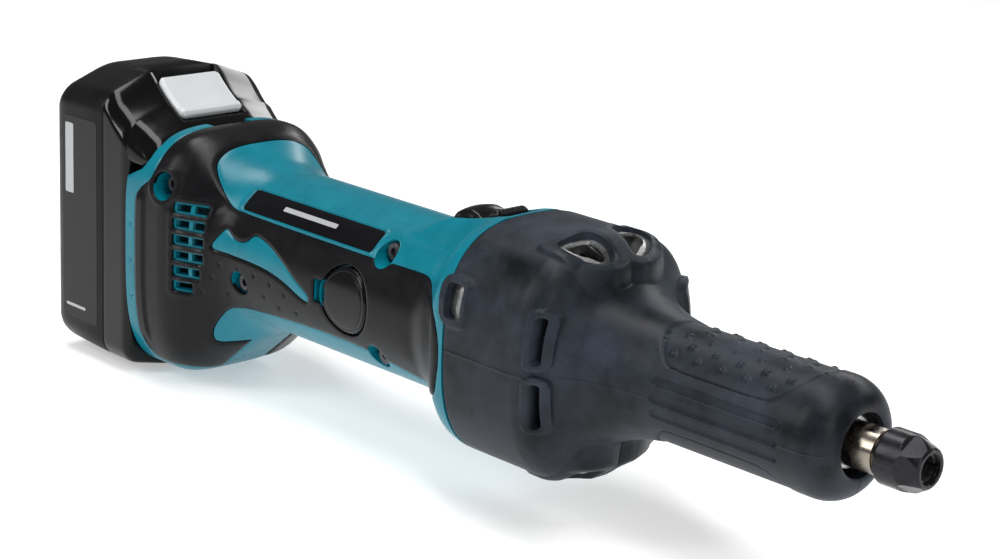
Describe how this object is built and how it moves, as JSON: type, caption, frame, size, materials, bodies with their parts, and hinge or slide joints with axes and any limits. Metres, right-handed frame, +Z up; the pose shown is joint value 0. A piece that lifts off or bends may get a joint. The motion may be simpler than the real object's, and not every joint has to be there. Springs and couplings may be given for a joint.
{
  "type": "cordless straight die grinder",
  "caption": "Battery straight die grinder: slim motor handle, slide switch, rubber-covered long neck, collet and slide-off battery pack.",
  "frame": {"origin": "collet's mouth on the spindle axis", "axes": "+X out of the collet along the spindle, +Z up towards the switch knob, -Y is the side with the name plate"},
  "size_m": [0.402, 0.0786, 0.1165],
  "materials": {
    "battery_shell_matte": "satin moulded plastic",
    "battery_shell_gloss": "polished moulded plastic",
    "cell_wrap": "shrink wrap",
    "black_plastic": "moulded plastic",
    "nickel": "thin strip",
    "board_green": "coated circuit board",
    "copper": "plated copper",
    "label_print": "printed film",
    "latch_white": "moulded plastic",
    "steel": "ground",
    "dark_steel": "zinc-phosphate screws",
    "housing_teal": "glass-filled moulded plastic",
    "grip_black": "soft moulded panel",
    "plate_black": "blank printed plate",
    "wire_red": "wire insulation",
    "aluminium": "die cast and machined",
    "knob_black": "moulded plastic",
    "brass": "drawn",
    "carbon": "pressed carbon",
    "ferrite": "sintered",
    "lamination": "stacked sheet",
    "enamel_copper": "enamelled wire",
    "bearing_steel": "polished",
    "cage_resin": "moulded resin",
    "boot_rubber": "matte moulded rubber",
    "spindle_steel": "ground",
    "nut_black": "black oxide"
  },
  "bodies": {
    "housing": {"housing_left": "housing_teal", "housing_right": "housing_teal", "grip_left": "grip_black", "grip_right": "grip_black", "name_plate": "plate_black", "housing_screws": "dark_steel", "terminal_block": "black_plastic", "terminal_blades": "copper", "controller_board": "board_green", "heat_sink": "aluminium", "lead_wires": "wire_red", "switch_body": "black_plastic", "brush_holders": "brass", "carbon_brushes": "carbon", "brush_springs": "steel", "brush_caps": "black_plastic", "bearing_sleeve": "grip_black", "yoke": "steel", "magnets": "ferrite", "air_baffle": "black_plastic", "bearing_outer_races": "bearing_steel", "neck_housing": "aluminium", "neck_screws": "dark_steel", "outer_spacer": "steel", "bearing_retainer": "dark_steel", "rubber_boot": "boot_rubber"},
    "battery": {"battery_rear_case": "battery_shell_matte", "battery_front_case": "battery_shell_gloss", "battery_cells": "cell_wrap", "cell_holders": "black_plastic", "cell_straps": "nickel", "battery_board": "board_green", "battery_contacts": "copper", "battery_screws": "dark_steel", "battery_labels": "label_print", "latch_springs": "steel"},
    "latch": {"latch_button": "latch_white"},
    "rotor": {"armature_shaft": "steel", "armature_core": "lamination", "armature_windings": "enamel_copper", "commutator": "copper", "fan": "black_plastic", "coupling": "black_plastic", "bearing_inner_races": "bearing_steel", "inner_spacer": "steel", "dust_ring": "steel", "spindle": "spindle_steel"},
    "ball_sets": {"bearing_balls": "bearing_steel", "bearing_cages": "cage_resin"},
    "collet": {"collet": "steel"},
    "nut": {"collet_nut": "nut_black"},
    "switch": {"switch_knob": "knob_black", "switch_bar": "black_plastic"},
    "cover_left": {"brush_cover_left": "knob_black"},
    "cover_right": {"brush_cover_right": "knob_black"}
  },
  "joints": [
    {"name": "rotor_spin", "type": "hinge", "parent": "housing", "child": "rotor", "pos_m": [-0.2, 0, 0], "axis": [1, 0, 0], "continuous": true},
    {"name": "ball_roll", "type": "hinge", "parent": "housing", "child": "ball_sets", "pos_m": [-0.2, 0, 0], "axis": [1, 0, 0], "continuous": true},
    {"name": "collet_slide", "type": "slide", "parent": "rotor", "child": "collet", "axis": [1, 0, 0], "range_m": [0, 0.0021]},
    {"name": "nut_turn", "type": "hinge", "parent": "collet", "child": "nut", "pos_m": [0, 0, 0], "axis": [1, 0, 0], "range_deg": [0, 720]},
    {"name": "switch_slide", "type": "slide", "parent": "housing", "child": "switch", "axis": [1, 0, 0], "range_m": [0, 0.0045]},
    {"name": "battery_slide", "type": "slide", "parent": "housing", "child": "battery", "axis": [0, 0, 1], "range_m": [0, 0.1]},
    {"name": "latch_press", "type": "slide", "parent": "battery", "child": "latch", "axis": [-1, 0, 0], "range_m": [0, 0.0045], "stiffness_N_per_m": 400},
    {"name": "cover_left_pull", "type": "slide", "parent": "housing", "child": "cover_left", "axis": [0, -1, 0], "range_m": [0, 0.012]},
    {"name": "cover_right_pull", "type": "slide", "parent": "housing", "child": "cover_right", "axis": [0, 1, 0], "range_m": [0, 0.012]}
  ],
  "couplings": [
    {"joint": "ball_roll", "follows": "rotor_spin", "ratio": 0.39},
    {"joint": "collet_slide", "follows": "nut_turn", "m_per_rad": 0.00015915}
  ]
}
